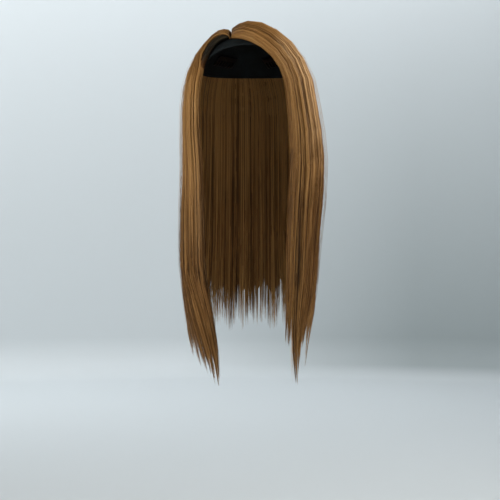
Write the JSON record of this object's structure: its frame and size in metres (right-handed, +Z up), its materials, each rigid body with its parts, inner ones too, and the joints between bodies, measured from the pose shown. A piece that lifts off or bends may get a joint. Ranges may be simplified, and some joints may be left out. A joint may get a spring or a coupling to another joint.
{
  "type": "clip-in hairpiece",
  "caption": "Clip-in hairpiece: long straight hair combed from a side parting over a thin dark base, open at the front and below, with comb clips under the base.",
  "frame": {"origin": "on the underside of the base at its crown, where it rests on the top of the wearer's head", "axes": "+Z up, -Y the front that the face looks out of, +X to the right seen from the front"},
  "size_m": [0.1734, 0.1913, 0.428],
  "materials": {
    "hair": "straight glossy honey-brown hair with lighter and darker strands",
    "base_net": "matt blue-black net cloth",
    "clip_metal": "black lacquered spring steel"
  },
  "bodies": {
    "root": {"cap_base": "base_net", "hair_left_front": "hair", "hair_left_side": "hair", "hair_back": "hair", "hair_right_side": "hair", "hair_right_front": "hair", "clip_front_left": "clip_metal", "clip_front_right": "clip_metal", "clip_back_left": "clip_metal", "clip_back_right": "clip_metal"}
  },
  "joints": []
}
